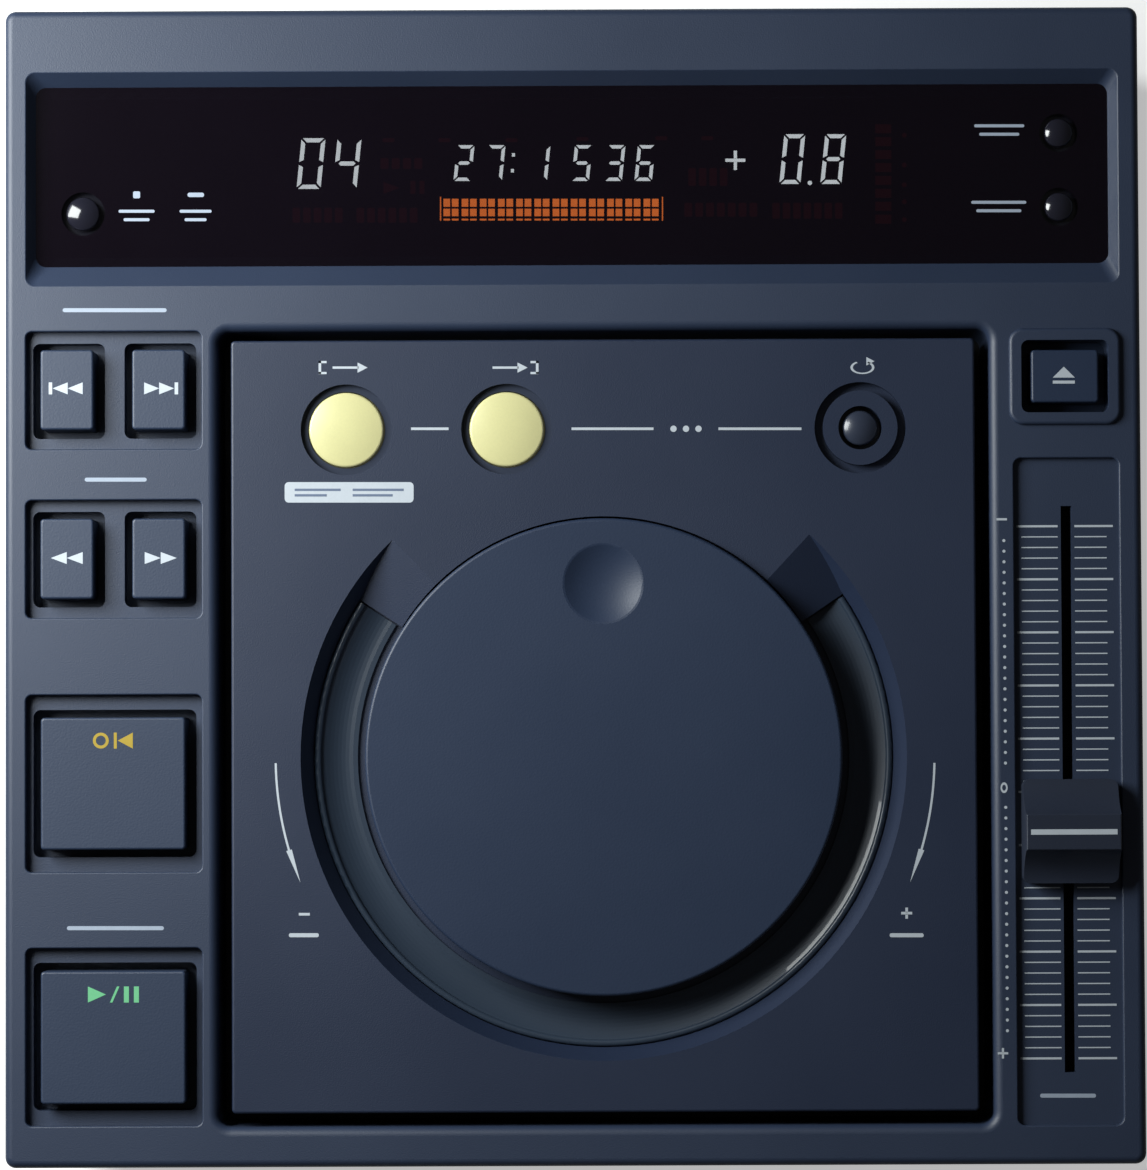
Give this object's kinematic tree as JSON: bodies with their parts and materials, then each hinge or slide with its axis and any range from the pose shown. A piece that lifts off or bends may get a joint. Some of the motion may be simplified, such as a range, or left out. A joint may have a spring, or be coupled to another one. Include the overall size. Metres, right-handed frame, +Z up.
{
  "type": "tabletop dj cd player",
  "caption": "Tabletop disc player console with a latched lifting lid, a jog dial on the lid, transport keys, a display window and a tempo fader",
  "frame": {"origin": "middle of the footprint, on the table under the rubber feet", "axes": "+X to the user's right, +Y to the back (towards the display), +Z up"},
  "size_m": [0.216, 0.22, 0.095],
  "materials": {
    "case_plastic": "fine satin texture, slate blue-grey",
    "lid_plastic": "satin, slate blue-grey",
    "jog_plastic": "satin, slate blue-grey",
    "liner_plastic": "polished dark grey",
    "key_plastic": "satin, lighter slate",
    "small_key_plastic": "glossy dark",
    "open_key_plastic": "satin dark slate",
    "lamp_plastic": "milky pale yellow",
    "reloop_plastic": "glossy dark",
    "window_plastic": "dark tinted, polished",
    "fader_plastic": "satin black with a white line",
    "inner_plastic": "fine texture, black",
    "painted_sheet": "black powder coat",
    "steel": "plain steel",
    "screw_steel": "dark zinc",
    "bearing_brass": "plain",
    "jack_metal": "polished plating",
    "rubber": "matt black",
    "board": "green lacquer",
    "switch_plastic": "plain black",
    "tube_glass": "clear glass over dark segments",
    "lens_glass": "coated lens",
    "gear_plastic": "natural white",
    "encoder_film": "dark film"
  },
  "bodies": {
    "case": {"top_cover": "case_plastic", "bottom_pan": "painted_sheet", "rear_panel": "painted_sheet", "rubber_feet": "rubber", "case_screws": "screw_steel", "display_window": "window_plastic", "display_tube": "tube_glass", "display_board": "board", "key_board": "board", "key_switches": "switch_plastic", "fader_body": "inner_plastic", "main_board": "board", "power_transformer": "steel", "rear_jacks": "jack_metal", "power_inlet": "inner_plastic", "power_switch_housing": "inner_plastic", "disc_well": "inner_plastic", "mech_chassis": "steel", "chassis_dampers": "rubber", "spindle_motor": "steel", "guide_rods": "steel", "sled_motor": "steel", "hinge_brackets": "steel"},
    "lid": {"lid_panel": "lid_plastic", "lid_inner_cover": "inner_plastic", "jog_liner": "liner_plastic", "button_collars": "lid_plastic", "lid_board": "board", "lid_switches": "switch_plastic", "lid_screws": "screw_steel", "hinge_pins": "steel", "jog_bearing": "bearing_brass", "jog_sensor": "board"},
    "jog": {"jog_dial": "jog_plastic", "jog_shaft": "inner_plastic", "encoder_disc": "encoder_film"},
    "clamper": {"disc_clamper": "inner_plastic", "clamper_plate": "steel"},
    "turntable": {"turntable_hub": "inner_plastic", "spindle_shaft": "steel"},
    "pickup": {"pickup_sled": "inner_plastic", "pickup_lens": "lens_glass"},
    "pinion": {"sled_pinion": "gear_plastic"},
    "latch": {"latch_slider": "inner_plastic"},
    "open_key": {"open_button": "open_key_plastic"},
    "fader": {"fader_cap": "fader_plastic", "fader_lever": "inner_plastic"},
    "rocker": {"power_rocker": "inner_plastic"},
    "loop_in_key": {"loop_in_button": "lamp_plastic"},
    "loop_out_key": {"loop_out_button": "lamp_plastic"},
    "reloop_key": {"reloop_button": "reloop_plastic"},
    "track_back_key": {"track_back_button": "key_plastic"},
    "track_next_key": {"track_next_button": "key_plastic"},
    "search_back_key": {"search_back_button": "key_plastic"},
    "search_next_key": {"search_next_button": "key_plastic"},
    "cue_key": {"cue_button": "key_plastic"},
    "play_key": {"play_button": "key_plastic"},
    "time_key": {"time_button": "small_key_plastic"},
    "tempo_range_key": {"tempo_range_button": "small_key_plastic"},
    "key_lock_key": {"key_lock_button": "small_key_plastic"}
  },
  "joints": [
    {"name": "lid_hinge", "type": "hinge", "parent": "case", "child": "lid", "pos_m": [0, 0.0362, 0.0805], "axis": [-1, 0, 0], "range_deg": [0, 65]},
    {"name": "jog_spin", "type": "hinge", "parent": "lid", "child": "jog", "pos_m": [0.0056, -0.0326, 0.086], "axis": [0, 0, 1], "continuous": true},
    {"name": "clamper_spin", "type": "hinge", "parent": "lid", "child": "clamper", "pos_m": [0.0056, -0.0326, 0.07], "axis": [0, 0, 1], "continuous": true},
    {"name": "disc_spin", "type": "hinge", "parent": "case", "child": "turntable", "pos_m": [0.0056, -0.0326, 0.064], "axis": [0, 0, 1], "continuous": true},
    {"name": "pickup_slide", "type": "slide", "parent": "case", "child": "pickup", "axis": [0, 1, 0], "range_m": [0, 0.034]},
    {"name": "pinion_spin", "type": "hinge", "parent": "case", "child": "pinion", "pos_m": [0.0404, 0.002, 0.0546], "axis": [0, 0, 1], "range_deg": [-325, 0]},
    {"name": "open_press", "type": "slide", "parent": "case", "child": "open_key", "axis": [0, 0, -1], "range_m": [0, 0.003], "stiffness_N_per_m": 200, "springref_m": -0.002},
    {"name": "latch_slide", "type": "slide", "parent": "case", "child": "latch", "axis": [0, 1, 0], "range_m": [0, 0.003]},
    {"name": "tempo_slide", "type": "slide", "parent": "case", "child": "fader", "axis": [0, 1, 0], "range_m": [-0.042, 0.058]},
    {"name": "power_rock", "type": "hinge", "parent": "case", "child": "rocker", "pos_m": [0.038, 0.1006, 0.032], "axis": [-1, 0, 0], "range_deg": [0, 18]},
    {"name": "loop_in_press", "type": "slide", "parent": "lid", "child": "loop_in_key", "axis": [0, 0, -1], "range_m": [0, 0.0008], "stiffness_N_per_m": 200, "springref_m": -0.002},
    {"name": "loop_out_press", "type": "slide", "parent": "lid", "child": "loop_out_key", "axis": [0, 0, -1], "range_m": [0, 0.0008], "stiffness_N_per_m": 200, "springref_m": -0.002},
    {"name": "reloop_press", "type": "slide", "parent": "lid", "child": "reloop_key", "axis": [0, 0, -1], "range_m": [0, 0.0008], "stiffness_N_per_m": 200, "springref_m": -0.002},
    {"name": "track_back_press", "type": "slide", "parent": "case", "child": "track_back_key", "axis": [0, 0, -1], "range_m": [0, 0.001], "stiffness_N_per_m": 200, "springref_m": -0.002},
    {"name": "track_next_press", "type": "slide", "parent": "case", "child": "track_next_key", "axis": [0, 0, -1], "range_m": [0, 0.001], "stiffness_N_per_m": 200, "springref_m": -0.002},
    {"name": "search_back_press", "type": "slide", "parent": "case", "child": "search_back_key", "axis": [0, 0, -1], "range_m": [0, 0.001], "stiffness_N_per_m": 200, "springref_m": -0.002},
    {"name": "search_next_press", "type": "slide", "parent": "case", "child": "search_next_key", "axis": [0, 0, -1], "range_m": [0, 0.001], "stiffness_N_per_m": 200, "springref_m": -0.002},
    {"name": "cue_press", "type": "slide", "parent": "case", "child": "cue_key", "axis": [0, 0, -1], "range_m": [0, 0.001], "stiffness_N_per_m": 200, "springref_m": -0.002},
    {"name": "play_press", "type": "slide", "parent": "case", "child": "play_key", "axis": [0, 0, -1], "range_m": [0, 0.001], "stiffness_N_per_m": 200, "springref_m": -0.002},
    {"name": "time_press", "type": "slide", "parent": "case", "child": "time_key", "axis": [0, 0, -1], "range_m": [0, 0.001], "stiffness_N_per_m": 200, "springref_m": -0.002},
    {"name": "tempo_range_press", "type": "slide", "parent": "case", "child": "tempo_range_key", "axis": [0, 0, -1], "range_m": [0, 0.001], "stiffness_N_per_m": 200, "springref_m": -0.002},
    {"name": "key_lock_press", "type": "slide", "parent": "case", "child": "key_lock_key", "axis": [0, 0, -1], "range_m": [0, 0.001], "stiffness_N_per_m": 200, "springref_m": -0.002}
  ],
  "couplings": [
    {"joint": "pinion_spin", "follows": "pickup_slide", "rad_per_m": -166.67},
    {"joint": "latch_slide", "follows": "open_press", "ratio": 1}
  ]
}
